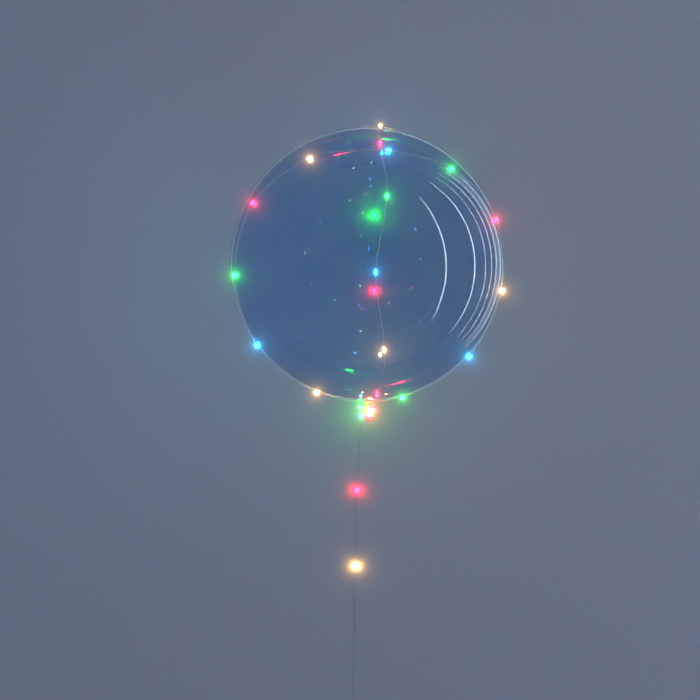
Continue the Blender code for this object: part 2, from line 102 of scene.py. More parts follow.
# Free lead from the end of the winding: sideways, outwards, and share of the height of that end
DROP_POINTS = (
    (0.0002, 0.0010, 0.94), (0.0003, 0.0050, 0.80), (0.0004, 0.0090, 0.65), (0.0006, 0.0145, 0.42),
    (0.0008, 0.0195, 0.24), (0.0008, 0.0230, 0.14),
)

# The lead on the floor: sideways, outwards and height. It carries the lamps from number 27 on
FLOOR_POINTS = (
    (0.0007, 0.0310, 0.0088), (0.0004, 0.0455, 0.0024), (-0.0014, 0.0735, 0.0009),
    (-0.0036, 0.1035, 0.0011), (-0.0050, 0.1250, 0.0021), (-0.0056, 0.1485, 0.0011),
    (-0.0047, 0.1785, 0.0009), (-0.0050, 0.2075, 0.0011), (-0.0063, 0.2300, 0.0021),
    (-0.0074, 0.2535, 0.0011), (-0.0070, 0.2985, 0.0009), (-0.0080, 0.3485, 0.0009),
    (-0.0093, 0.3985, 0.0009), (-0.0098, 0.4215, 0.0011), (-0.0098, 0.4365, 0.0014),
)

# Coil of spare lead: each turn shifts to the next place at its end
COIL_TURN_RADIUS = 6.0 * WIRE_DIAMETER
COIL_WIDE = 3
COIL_HIGH = 2
COIL_STEPS = 24
COIL_SHIFT_START = 0.7

# The photograph's frame, and where the balloon's outline stands in it
PHOTO_SIDE = 700
BALLOON_PIXEL = (367.0, 264.0)
BALLOON_PIXEL_RADIUS = 137.0
VIEW_TILT = math.radians(4.75)
VIEW_DISTANCE = 3.0
SENSOR_MM = 36.0

# From the coil to the battery case: share of that way at each point, and how far it goes in
LEAD_END_SHARES = (0.10, 0.30, 0.62, 0.80)
LEAD_INTO_CASE = 0.008

# Lights: a large soft one overhead, strips on the right as (away, height, width, power), of which
# the wide dim one gives the haze at the edge, and a ring of small ones, stronger on the right
LIGHT_COLOUR = (0.78, 0.89, 1.0)
OVERHEAD_PLACE = (-0.4, 0.3, 4.6)
OVERHEAD_SIDE = 4.0
OVERHEAD_POWER = 14.0
SIDE_STRIPS = (
    (1.5, 0.88, 0.034, 3.4), (1.2, 0.085, 0.105, 8.9), (0.62, 0.032, 0.012, 0.40),
    (0.48, 0.008, 0.009, 0.22), (0.38, 0.004, 0.007, 0.085), (0.30, 0.004, 0.006, 0.045),
    (0.34, 0.003, 0.13, 0.11),
)
STRIP_FACES_UP_BELOW = 0.10
SIDE_STRIP_SPREAD = (math.radians(-41.0), math.radians(53.0))
RIM_LIGHTS = 12
RIM_LIGHT_RADIUS = 0.25
RIM_LIGHT_POWER = 0.006
RIM_LIGHT_WIDTH = 0.018
RIM_LIGHT_HEIGHT = 0.004
RIM_STRONGEST = math.radians(25.0)
ROOM_COLOUR = (0.60, 0.70, 0.95)
ROOM_STRENGTH = 0.22

# Halo of the lit lamps, as (threshold, strength, size), and the brightest value that feeds it
GLOW_LAYERS = ((1.5, 0.07, 0.2), (2.0, 1.0, 0.06))
GLOW_LIMIT = 20.0

# Twisted pair that makes the wire
STRAND_RADIUS = 0.00027
STRAND_OFFSET = 0.00033
TWIST_PITCH = 0.0075
PATH_STEP = 0.0008

# Kinks of the wire on the balloon, as (waves in a metre, sway), and over which distances from a
# lamp and heights above the floor they set in
KINKS = ((38.0, 0.0016), (110.0, 0.0006))
FREE_OF_LAMP = (0.006, 0.018)
FREE_OF_FLOOR = (0.008, 0.028)
ON_FILM = 0.004

# Film: its wall, the facets of its shape, and where the gathered part starts below the sphere
FILM_THICKNESS = 0.00015
FILM_SEGMENTS = 180
FILM_ROW = math.radians(1.25)
SHOULDER_ROWS = 14
NECK_ROWS = 8
GATHER_START = -0.0004
GATHER_SPREAD = 0.0030

# Underside: the strand of the second ring that passes there, the cuts beside it, and the heights
# below which the film is cut and flattened
REST_ROW = 8
REST_SHARE = 0.55
REST_STEPS = 24
DENT_CUTS = (-0.0026, -0.0014, 0.0, 0.0014, 0.0026)
DENT_HALF_WIDTH = 0.0020
DENT_CUT_HEIGHT = 0.006
REST_TOP = 0.008
REST_HEIGHT = 0.00002

# Pleats that run up from the neck: how far, where they reach their depth, how deep, and how many
PLEAT_REACH = math.radians(15.0)
PLEAT_RISE = math.radians(3.0)
PLEAT_DEPTH = 0.0007
PLEATS = 17

# Folds of the shoulder, as their number and their share of the radius: broad ones and fine ones.
# They rise and ease again at these depths below the sphere, and the film turns milky there
BROAD_FOLDS = (9, 0.13)
FINE_FOLDS = (23, 0.05)
FOLDS_RISE = (-0.0040, 0.0035)
FOLDS_EASE = (0.0035, 0.0075)
FOLDS_EASED = 0.55
TURNS_MILKY = (-0.002, 0.006)

# Tones of the finishes, most of them two between which the finish varies
# The film's two tones are a painted blue cast that stands in for the blue light filling the balloon
FILM_PAINTED_BLUE_LOW, FILM_PAINTED_BLUE_HIGH = (0.58, 0.77, 1.0), (0.72, 0.86, 1.0)
FILM_SHEEN = (0.75, 0.87, 1.0)
FILM_SHADE = (0.86, 0.93, 1.0)
DRAWN_IN_TONE = (0.88, 0.93, 0.98)
GATHERED_LOW, GATHERED_HIGH = (0.74, 0.84, 0.95), (0.92, 0.96, 1.0)
WIRE_LOW, WIRE_HIGH = (0.70, 0.75, 0.82), (0.90, 0.93, 0.97)
CASE_LOW, CASE_HIGH = (0.72, 0.73, 0.76), (0.82, 0.83, 0.85)
SOFT_LOW, SOFT_HIGH = (0.020, 0.020, 0.022), (0.045, 0.045, 0.048)
FLOOR_TONE = (0.60, 0.63, 0.70)
FLOOR_SIDE = 12.0

# Lamps: their facets, how much thinner they are at the ends, and their light
LAMP_SIDES = 18
LAMP_ROWS = 12
LAMP_THINNER = 0.12
LAMP_STRENGTH = 100.0
LAMP_COLOURS = {
    "red": (1.0, 0.004, 0.026),
    "yellow": (1.0, 0.50, 0.12),
    "blue": (0.004, 0.45, 1.0),
    "green": (0.004, 1.0, 0.032),
}


def camera_axes():
    """Right, up and towards-the-camera directions of the view."""
    right = Vector((1.0, 0.0, 0.0))
    up = Vector((0.0, math.cos(VIEW_TILT), -math.sin(VIEW_TILT)))
    toward = Vector((0.0, math.sin(VIEW_TILT), math.cos(VIEW_TILT)))
    return right, up, toward


def set_camera():
    right, up, toward = camera_axes()
    pixel = BALLOON_RADIUS / BALLOON_PIXEL_RADIUS
    middle = PHOTO_SIDE / 2
    target = CENTRE + right * (middle - BALLOON_PIXEL[0]) * pixel
    target += up * (BALLOON_PIXEL[1] - middle) * pixel
    data = bpy.data.cameras.new("photo_camera")
    data.sensor_width = SENSOR_MM
    data.lens = SENSOR_MM * VIEW_DISTANCE / (pixel * PHOTO_SIDE)
    data.clip_start = 0.05
    data.clip_end = 30.0
    camera = bpy.data.objects.new("photo_camera", data)
    bpy.context.collection.objects.link(camera)
    turn = Matrix((right, up, toward)).transposed().to_4x4()
    camera.matrix_world = Matrix.Translation(target + toward * VIEW_DISTANCE) @ turn
    bpy.context.scene.camera = camera


def soft_light(name, place, aim, width, height, power, shape="ELLIPSE"):
    """Area light that shows in gloss and lights the set, but is not seen itself."""
    data = bpy.data.lights.new(name, "AREA")
    data.shape = shape
    data.size = width
    data.size_y = height
    data.energy = power
    data.color = LIGHT_COLOUR
    light = bpy.data.objects.new(name, data)
    bpy.context.collection.objects.link(light)
    light.location = place
    light.rotation_euler = (Vector(aim) - Vector(place)).to_track_quat("-Z", "Y").to_euler()
    light.visible_camera = False
    light.visible_transmission = False
    return light


def set_lights():
    """Soft lights of a plain studio; the low ones draw the thin arcs in the film."""
    overhead = soft_light("overhead_softbox", OVERHEAD_PLACE, CENTRE, OVERHEAD_SIDE, OVERHEAD_SIDE,
                          OVERHEAD_POWER)
    overhead.visible_glossy = False
    for index, (away, height, width, power) in enumerate(SIDE_STRIPS):
        low, high = (away * math.tan(angle) for angle in SIDE_STRIP_SPREAD)
        place = Vector((away, (low + high) / 2, height))
        aim = Vector((0.0, place.y, CENTRE.z))
        if height < STRIP_FACES_UP_BELOW:
            aim = place + Vector((-0.001, 0.0, 1.0))
        soft_light("right_strip_%d" % (index + 1), place, aim, high - low, width, power)
    for index in range(RIM_LIGHTS):
        around = math.tau * index / RIM_LIGHTS
        outward = Vector((math.cos(around), math.sin(around), 0.0))
        place = outward * RIM_LIGHT_RADIUS + Vector((0.0, 0.0, RIM_LIGHT_HEIGHT))
        length = math.tau * RIM_LIGHT_RADIUS / RIM_LIGHTS
        lit = 0.45 + 0.55 * max(0.0, math.cos(around - RIM_STRONGEST))
        above = place + Vector((0.0, 0.0, 1.0))
        rim = soft_light("rim_light_%02d" % (index + 1), place, above, length, RIM_LIGHT_WIDTH,
                         RIM_LIGHT_POWER * lit, "RECTANGLE")
        rim.rotation_euler = (math.pi, 0.0, around + math.pi / 2)
    world = bpy.data.worlds.new("soft_room")
    world.use_nodes = True
    backdrop = world.node_tree.nodes["Background"]
    backdrop.inputs["Color"].default_value = (*ROOM_COLOUR, 1.0)
    backdrop.inputs["Strength"].default_value = ROOM_STRENGTH
    bpy.context.scene.world = world


def set_glow():
    """Soft halo round the lit lamps, as a lens gives it in a dim room."""
    scene = bpy.context.scene
    scene.use_nodes = True
    tree = scene.node_tree
    tree.nodes.clear()
    layers = tree.nodes.new("CompositorNodeRLayers")
    picture = layers.outputs["Image"]
    for threshold, strength, size in GLOW_LAYERS:
        glare = tree.nodes.new("CompositorNodeGlare")
        glare.glare_type = "BLOOM"
        glare.quality = "HIGH"
        glare.inputs["Threshold"].default_value = threshold
        glare.inputs["Clamp"].default_value = True
        glare.inputs["Maximum"].default_value = GLOW_LIMIT
        glare.inputs["Strength"].default_value = strength
        glare.inputs["Size"].default_value = size
        tree.links.new(picture, glare.inputs["Image"])
        picture = glare.outputs["Image"]
    out = tree.nodes.new("CompositorNodeComposite")
    tree.links.new(picture, out.inputs["Image"])


def share_of_way(value, start, end):
    """How far a value has come from start to end, from 0 to 1."""
    return min(1.0, max(0.0, (value - start) / (end - start)))


def blend_between(rows, index, share):
    """Smooth curve through a list of tuples (Catmull-Rom), between rows index and index + 1."""
    before = rows[max(index - 1, 0)]
    start = rows[index]
    end = rows[index + 1]
    after = rows[min(index + 2, len(rows) - 1)]
    weights = (
        -0.5 * share + share ** 2 - 0.5 * share ** 3,
        1.0 - 2.5 * share ** 2 + 1.5 * share ** 3,
        0.5 * share + 2.0 * share ** 2 - 1.5 * share ** 3,
        -0.5 * share ** 2 + 0.5 * share ** 3,
    )
    return tuple(sum(w * row[axis] for w, row in zip(weights, (before, start, end, after)))
                 for axis in range(len(start)))


def evenly(points, step):
    """Points a step apart along the smooth curve through the given ones."""
    rows = [tuple(point) for point in points]
    fine = [Vector(rows[0])]
    for index in range(len(rows) - 1):
        span = (Vector(rows[index + 1]) - Vector(rows[index])).length
        parts = max(2, math.ceil(span / (step / 2)))
        fine += [Vector(blend_between(rows, index, part / parts)) for part in range(1, parts + 1)]
    reach = [0.0]
    for before, after in zip(fine, fine[1:]):
        reach.append(reach[-1] + (after - before).length)
    count = max(2, round(reach[-1] / step))
    picked = []
    index = 0
    for number in range(count + 1):
        wanted = reach[-1] * number / count
        while index < len(fine) - 2 and reach[index + 1] < wanted:
            index += 1
        share = (wanted - reach[index]) / max(reach[index + 1] - reach[index], 1e-12)
        picked.append(fine[index].lerp(fine[index + 1], share))
    return picked


def neck_profile(depth):
    """Radius of the neck at a depth below the sphere's lowest point, along the balloon's axis."""
    edge_radius = BALLOON_RADIUS * math.sin(SHOULDER_ANGLE)
    edge_depth = -BALLOON_RADIUS * (1.0 - math.cos(SHOULDER_ANGLE))
    if depth >= SHOULDER_LENGTH:
        return NECK_RADIUS
    share = (depth - edge_depth) / (SHOULDER_LENGTH - edge_depth)
    return NECK_RADIUS + (edge_radius - NECK_RADIUS) * (1.0 - share) ** 3


def on_neck(radius, azimuth, depth):
    along = -(BALLOON_RADIUS + depth)
    return CENTRE + Vector((radius * math.cos(azimuth), along, radius * math.sin(azimuth)))


def ring_one_direction(around, lean):
    """Round the outline from the neck by the left side, with a lean to the front."""
    around, lean = math.radians(around), math.radians(lean)
    level = Vector((-math.sin(around), -math.cos(around), 0.0)) * math.cos(lean)
    return level + Vector((0.0, 0.0, math.sin(lean)))


def ring_two_direction(turn, lean):
    """From the top over the crown and down the back, with a lean to the right."""
    turn, lean = math.radians(turn), math.radians(lean)
    upright = Vector((0.0, math.sin(turn), math.cos(turn))) * math.cos(lean)
    return upright + Vector((math.sin(lean), 0.0, 0.0))


def over_film(direction, height):
    """Point at a height over the film, and never below the floor."""
    point = CENTRE + direction * (BALLOON_RADIUS + height)
    point.z = max(point.z, WIRE_RADIUS + GAP)
    return point


def ring_route(seats, ends, direction, extra):
    """Points of one ring over the film, each with whether a lamp sits there."""
    rows = [ends[0], *seats, ends[1]]
    route = []
    for index in range(len(rows) - 1):
        seated = 0 < index
        height = STANDOFF + (LAMP_RADIUS if seated else WIRE_RADIUS)
        route.append((over_film(direction(*rows[index]), height), seated))
        for step in range(1, STEPS_BETWEEN_LAMPS):
            way = direction(*blend_between(rows, index, step / STEPS_BETWEEN_LAMPS))
            lying = over_film(way, STANDOFF + WIRE_RADIUS)
            route.append((over_film(way, STANDOFF + WIRE_RADIUS + extra(lying)), False))
    route.append((over_film(direction(*rows[-1]), STANDOFF + WIRE_RADIUS), False))
    return route


def no_lift(_point):
    return 0.0


def crossing_lift(point):
    """Lift of the second ring where it passes over the first."""
    crossing = over_film(ring_one_direction(*RING_ONE[5]), 0.0)
    away = (point - crossing).length / CROSSING_WIDTH
    return CROSSING_LIFT * math.exp(-away ** 2)


def start_turn_route():
    """From the first lamp, below the winding, up the neck to the left shoulder."""
    route = []
    for step in range(START_TURN_STEPS + 1):
        left = 1.0 - step / START_TURN_STEPS
        azimuth = math.pi - START_TURN * left
        depth = START_TOP + (FIRST_LAMP_DEPTH - START_TOP) * left ** 0.7
        radius = INNER_LAYER + (neck_profile(depth) - NECK_RADIUS)
        route.append((on_neck(radius, azimuth, depth), False))
    lamp_azimuth = math.pi - START_TURN - FIRST_LAMP_TURN
    seat = on_neck(NECK_RADIUS + GAP + LAMP_RADIUS, lamp_azimuth, FIRST_LAMP_DEPTH)
    tangent = Vector((-math.sin(lamp_azimuth), 0.0, math.cos(lamp_azimuth)))
    lead_in = seat - tangent * FIRST_LAMP_LEAD_IN
    return [(lead_in, False), (seat, True)] + route[1:]


def crossing_turn_route():
    """Quarter turn round the neck, from the end of the first ring to the start of the second."""
    route = []
    for step in range(1, CROSSING_TURN_STEPS):
        share = step / CROSSING_TURN_STEPS
        depth = CROSSING_TURN_DEPTH * (1.0 + math.sin(math.pi * share))
        radius = INNER_LAYER + (neck_profile(depth) - NECK_RADIUS)
        route.append((on_neck(radius, share * math.pi / 2, depth), False))
    return route


def winding_route():
    """Turns round the neck that hold both rings."""
    steps = [step / WINDING_STEPS for step in range(round(WINDING_TURNS * WINDING_STEPS) + 1)]
    stations = [(turns, False) for turns in steps
                if all(abs(turns - lamp) * WINDING_STEPS > WINDING_CLEAR_STEPS
                       for lamp in WINDING_LAMPS)]
    stations += [(lamp, True) for lamp in WINDING_LAMPS]
    seat_radius = OUTER_LAYER + WIRE_RADIUS + GAP + LAMP_RADIUS
    route = []
    for turns, seated in sorted(stations):
        radius = seat_radius if seated else OUTER_LAYER
        depth = WINDING_START + turns * WINDING_PITCH
        route.append((on_neck(radius, 1.5 * math.pi + turns * math.tau, depth), seated))
    return route


def threaded(route):
    """Straightens the wire through each lamp."""
    points = []
    half = LAMP_LENGTH / 2 + LAMP_CLEAR
    for index, (place, seated) in enumerate(route):
        if not seated:
            points.append(place)
            continue
        along = (route[index + 1][0] - route[index - 1][0]).normalized()
        points += [place - along * half, place + along * half]
    return points


def lead_points():
    """Free lead: down from the winding, along the floor, round the coil and into the battery case."""
    end = on_neck(OUTER_LAYER, math.pi, WINDING_END)
    points = [Vector((end.x, end.y, end.z - GAP))]
    points += [Vector((end.x + side, end.y - out, share * end.z)) for side, out, share in DROP_POINTS]
    points += [Vector((end.x + side, end.y - out, height)) for side, out, height in FLOOR_POINTS]
    coil_low, coil_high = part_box("lead_coil")
    centre = (Vector(coil_low) + Vector(coil_high)) / 2
    low_layer = coil_low[2] + WIRE_RADIUS
    outermost = COIL_TURN_RADIUS + (COIL_WIDE - 1) * WIRE_RADIUS
    turns = COIL_WIDE * COIL_HIGH
    for step in range(3, turns * COIL_STEPS - 2):
        turn, part = divmod(step / COIL_STEPS, 1.0)
        shift = share_of_way(part, COIL_SHIFT_START, 1.0)
        shift = shift * shift * (3.0 - 2.0 * shift)
        rising = turn == COIL_WIDE - 1
        if turn < COIL_WIDE:
            place = turn + (0.0 if rising else shift)
            height = low_layer + (shift if rising else 0.0) * WIRE_DIAMETER
        else:
            place = turns - 1 - turn - (shift if turn < turns - 1 else 0.0)
            height = low_layer + WIRE_DIAMETER
        radius = outermost - place * WIRE_DIAMETER
        angle = -math.tau * part
        beside = centre.x + radius * math.cos(angle)
        beyond = centre.y + radius * math.sin(angle)
        points.append(Vector((beside, beyond, height)))
    end_low, end_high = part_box("lead_end")
    middle_x = (end_low[0] + end_high[0]) / 2
    run = end_high[1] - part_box("battery_case")[1][1]
    lead_height = end_high[2] - WIRE_RADIUS
    heights = (low_layer + 0.7 * WIRE_DIAMETER, low_layer + WIRE_DIAMETER, lead_height, lead_height)
    points += [Vector((middle_x, end_high[1] - share * run, height))
               for share, height in zip(LEAD_END_SHARES, heights)]
    points.append(Vector((middle_x, end_low[1] - LEAD_INTO_CASE, lead_height)))
    return points


def mottle_group():
    """Shared group: soft blotches of two scales, as a mask and as a height."""
    group = bpy.data.node_groups.new("soft_mottle", "ShaderNodeTree")
    face = group.interface
    for name, value in (("Broad Scale", 8.0), ("Fine Scale", 60.0), ("Balance", 0.5), ("Detail", 4.0)):
        face.new_socket(name=name, in_out="INPUT", socket_type="NodeSocketFloat").default_value = value
    face.new_socket(name="Vector", in_out="INPUT", socket_type="NodeSocketVector")
    for name in ("Mask", "Height"):
        face.new_socket(name=name, in_out="OUTPUT", socket_type="NodeSocketFloat")
    nodes, links = group.nodes, group.links
    inputs = nodes.new("NodeGroupInput")
    outputs = nodes.new("NodeGroupOutput")
    broad = nodes.new("ShaderNodeTexNoise")
    fine = nodes.new("ShaderNodeTexNoise")
    mix = nodes.new("ShaderNodeMix")
    for texture, scale in ((broad, "Broad Scale"), (fine, "Fine Scale")):
        links.new(inputs.outputs["Vector"], texture.inputs["Vector"])
        links.new(inputs.outputs[scale], texture.inputs["Scale"])
        links.new(inputs.outputs["Detail"], texture.inputs["Detail"])
    links.new(inputs.outputs["Balance"], mix.inputs["Factor"])
    links.new(broad.outputs["Fac"], mix.inputs["A"])
    links.new(fine.outputs["Fac"], mix.inputs["B"])
    links.new(mix.outputs["Result"], outputs.inputs["Mask"])
    links.new(fine.outputs["Fac"], outputs.inputs["Height"])
    return group


def new_material(name):
    made = bpy.data.materials.new(name)
    made.use_nodes = True
    return made, made.node_tree.nodes, made.node_tree.links, made.node_tree.nodes["Principled BSDF"]


def add_mottle(nodes, links, group, broad, fine, balance, detail=4.0):
    """Places the shared group on Object coordinates."""
    place = nodes.new("ShaderNodeTexCoord")
    blotch = nodes.new("ShaderNodeGroup")
    blotch.node_tree = group
    blotch.inputs["Broad Scale"].default_value = broad
    blotch.inputs["Fine Scale"].default_value = fine
    blotch.inputs["Balance"].default_value = balance
    blotch.inputs["Detail"].default_value = detail
    links.new(place.outputs["Object"], blotch.inputs["Vector"])
    return blotch


def colour_between(nodes, links, factor, low, high):
    mix = nodes.new("ShaderNodeMix")
    mix.data_type = "RGBA"
    mix.inputs["A"].default_value = (*low, 1.0)
    mix.inputs["B"].default_value = (*high, 1.0)
    links.new(factor, mix.inputs["Factor"])
    return mix.outputs["Result"]


def value_between(nodes, links, factor, low, high):
    spread = nodes.new("ShaderNodeMapRange")
    spread.inputs["To Min"].default_value = low
    spread.inputs["To Max"].default_value = high
    links.new(factor, spread.inputs["Value"])
    return spread.outputs["Result"]


def bump(nodes, links, shader, height, strength, distance):
    relief = nodes.new("ShaderNodeBump")
    relief.inputs["Strength"].default_value = strength
    relief.inputs["Distance"].default_value = distance
    links.new(height, relief.inputs["Height"])
    links.new(relief.outputs["Normal"], shader.inputs["Normal"])


def film_material(group):
    """Clear film with a painted blue cast that stands in for the blue light filling the balloon,
    milkier where it is gathered at the neck.
    """
    made, nodes, links, shader = new_material("clear_film")
    shader.inputs["Transmission Weight"].default_value = 1.0
    shader.inputs["Metallic"].default_value = 0.0
    shader.inputs["IOR"].default_value = 1.7
    shader.inputs["Sheen Weight"].default_value = 1.0
    shader.inputs["Sheen Roughness"].default_value = 0.15
    shader.inputs["Sheen Tint"].default_value = (*FILM_SHEEN, 1.0)
    blotch = add_mottle(nodes, links, group, broad=14.0, fine=55.0, balance=0.3, detail=0.0)
    gather = nodes.new("ShaderNodeAttribute")
    gather.attribute_name = "gather"
    # Painted blue light: the film's base colour carries a blue cast for the blue glow inside the
    # balloon
    clear = colour_between(nodes, links, blotch.outputs["Mask"], FILM_PAINTED_BLUE_LOW, FILM_PAINTED_BLUE_HIGH)
    mix = nodes.new("ShaderNodeMix")
    mix.data_type = "RGBA"
    links.new(gather.outputs["Fac"], mix.inputs["Factor"])
    links.new(clear, mix.inputs["A"])
    mix.inputs["B"].default_value = (*DRAWN_IN_TONE, 1.0)
    links.new(mix.outputs["Result"], shader.inputs["Base Color"])
    haze = value_between(nodes, links, gather.outputs["Fac"], low=0.015, high=0.16)
    links.new(haze, shader.inputs["Roughness"])
    bump(nodes, links, shader, blotch.outputs["Mask"], strength=1.0, distance=0.00025)
    out = nodes["Material Output"]
    path = nodes.new("ShaderNodeLightPath")
    passing = nodes.new("ShaderNodeBsdfTransparent")
    passing.inputs["Color"].default_value = (*FILM_SHADE, 1.0)
    choose = nodes.new("ShaderNodeMixShader")
    links.new(path.outputs["Is Shadow Ray"], choose.inputs["Fac"])
    links.new(shader.outputs["BSDF"], choose.inputs[1])
    links.new(passing.outputs["BSDF"], choose.inputs[2])
    links.new(choose.outputs["Shader"], out.inputs["Surface"])
    return made


def gathered_material(group):
    """The same film where it is drawn together: many folds over each other, so milky."""
    made, nodes, links, shader = new_material("gathered_film")
    shader.inputs["Transmission Weight"].default_value = 0.55
    shader.inputs["Metallic"].default_value = 0.0
    shader.inputs["IOR"].default_value = 1.48
    blotch = add_mottle(nodes, links, group, broad=160.0, fine=900.0, balance=0.4)
    tone = colour_between(nodes, links, blotch.outputs["Mask"], GATHERED_LOW, GATHERED_HIGH)
    links.new(tone, shader.inputs["Base Color"])
    haze = value_between(nodes, links, blotch.outputs["Mask"], low=0.12, high=0.34)
    links.new(haze, shader.inputs["Roughness"])
    bump(nodes, links, shader, blotch.outputs["Height"], strength=0.6, distance=0.0004)
    return made


def wire_material(group):
    """Thin lacquered strands, silvery with a cool cast."""
    made, nodes, links, shader = new_material("lacquered_wire")
    blotch = add_mottle(nodes, links, group, broad=40.0, fine=900.0, balance=0.5)
    tone = colour_between(nodes, links, blotch.outputs["Mask"], WIRE_LOW, WIRE_HIGH)
    links.new(tone, shader.inputs["Base Color"])
    shader.inputs["Metallic"].default_value = 0.35
    dulled = value_between(nodes, links, blotch.outputs["Mask"], low=0.18, high=0.38)
    links.new(dulled, shader.inputs["Roughness"])
    shader.inputs["Coat Weight"].default_value = 0.5
    shader.inputs["Coat Roughness"].default_value = 0.08
    return made


def lamp_material(name, colour):
    """Lit resin drop: strongest in its middle, dimmer at its ends."""
    made, nodes, links, shader = new_material("lit_resin_" + name)
    glow = nodes.new("ShaderNodeAttribute")
    glow.attribute_name = "glow"
    dim = tuple(0.30 * part for part in colour)
    pale = tuple(0.45 + 0.55 * part for part in colour)
    light = colour_between(nodes, links, glow.outputs["Fac"], dim, colour)
    links.new(light, shader.inputs["Emission Color"])
    shader.inputs["Emission Strength"].default_value = LAMP_STRENGTH
    resin = colour_between(nodes, links, glow.outputs["Fac"], pale, colour)
    links.new(resin, shader.inputs["Base Color"])
    shader.inputs["Roughness"].default_value = 0.12
    shader.inputs["IOR"].default_value = 1.5
    return made


def plastic_material(name, group, low, high, roughness):
    """Moulded plastic with a fine grain."""
    made, nodes, links, shader = new_material(name)
    blotch = add_mottle(nodes, links, group, broad=30.0, fine=1400.0, balance=0.5)
    tone = colour_between(nodes, links, blotch.outputs["Mask"], low, high)
    links.new(tone, shader.inputs["Base Color"])
    spread = value_between(nodes, links, blotch.outputs["Mask"], roughness - 0.06, roughness + 0.08)
    links.new(spread, shader.inputs["Roughness"])
    bump(nodes, links, shader, blotch.outputs["Height"], strength=0.25, distance=0.0001)
    return made


def floor_material():
    made, nodes, links, shader = new_material("pale_floor")
    shader.inputs["Base Color"].default_value = (*FLOOR_TONE, 1.0)
    shader.inputs["Roughness"].default_value = 0.55
    return made


def add_piece(name, shape, finish, smooth_angle=40.0):
    """Makes a finished piece of a bmesh, whose place is in its mesh."""
    mesh = bpy.data.meshes.new(name)
    shape.to_mesh(mesh)
    shape.free()
    mesh.shade_smooth()
    mesh.set_sharp_from_angle(angle=math.radians(smooth_angle))
    mesh.materials.append(finish)
    made = bpy.data.objects.new(name, mesh)
    bpy.context.collection.objects.link(made)
    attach(made, "root")
    return made


def film_profile():
    """Half outline of the film from the crown to the end of the stem, as (radius, along)."""
    rows = int((math.pi - SHOULDER_ANGLE) / FILM_ROW + 1e-6)
    profile = [(BALLOON_RADIUS * math.sin(row * FILM_ROW), BALLOON_RADIUS * math.cos(row * FILM_ROW))
               for row in range(rows)]
    profile[0] = (0.0, BALLOON_RADIUS)
    edge_depth = -BALLOON_RADIUS * (1.0 - math.cos(SHOULDER_ANGLE))
    for row in range(SHOULDER_ROWS + 1):
        depth = edge_depth + (SHOULDER_LENGTH - edge_depth) * (row / SHOULDER_ROWS) ** 1.4
        profile.append((neck_profile(depth), -(BALLOON_RADIUS + depth)))
    for row in range(1, NECK_ROWS + 1):
        depth = SHOULDER_LENGTH + (NECK_END - SHOULDER_LENGTH) * row / NECK_ROWS
        profile.append((NECK_RADIUS, -(BALLOON_RADIUS + depth)))
    stem = ((1.00, 0.18), (1.04, 0.36), (1.10, 0.54), (STEM_WIDEN, 0.72), (1.02 * STEM_WIDEN, 0.84),
            (0.98 * STEM_WIDEN, 0.94), (0.80 * STEM_WIDEN, 1.0), (0.0, 1.0))
    profile += [(NECK_RADIUS * wide, -(BALLOON_RADIUS + NECK_END + STEM_LENGTH * share))
                for wide, share in stem]
    return profile


def pleat_ridge(around):
    """Uneven pleats round the neck, from 0 on a ridge to 1 in a fold."""
    uneven = around * PLEATS + 1.3 * math.sin(2 * around + 0.4) + 0.9 * math.sin(5 * around)
    height = 0.75 + 0.25 * math.sin(3 * around + 1.0)
    return height * (0.5 - 0.5 * math.cos(uneven)) ** 1.5


def gather_shape(shape):
    """Pleats the film where it is drawn into the neck, flattens the stem and leans it aside."""
    gather = shape.verts.layers.float.new("gather")
    for vert in shape.verts:
        depth = -vert.co.z - BALLOON_RADIUS
        around = math.atan2(vert.co.y, vert.co.x)
        away = math.atan2(math.hypot(vert.co.x, vert.co.y), -vert.co.z)
        if away < PLEAT_REACH:
            fade = (1.0 - away / PLEAT_REACH) ** 1.5 * min(1.0, away / PLEAT_RISE)
            vert.co -= vert.co.normalized() * PLEAT_DEPTH * fade * pleat_ridge(around)
        rise = share_of_way(depth, *FOLDS_RISE)
        kept = 1.0 - FOLDS_EASED * share_of_way(depth, *FOLDS_EASE)
        pleat = rise * rise * (3.0 - 2.0 * rise) * kept
        ridge = 0.5 - 0.5 * math.cos(BROAD_FOLDS[0] * around + 0.7 * math.sin(2 * around))
        fine = 0.5 - 0.5 * math.cos(FINE_FOLDS[0] * around + 1.1 * math.sin(3 * around))
        narrow = 1.0 - pleat * (BROAD_FOLDS[1] * ridge + FINE_FOLDS[1] * fine)
        along_stem = share_of_way(depth, NECK_END, NECK_END + STEM_LENGTH)
        vert.co.x = vert.co.x * narrow + STEM_LEAN * along_stem
        vert.co.y *= narrow * (1.0 - (1.0 - STEM_FLATTEN) * along_stem)
        vert[gather] = share_of_way(depth, *TURNS_MILKY)


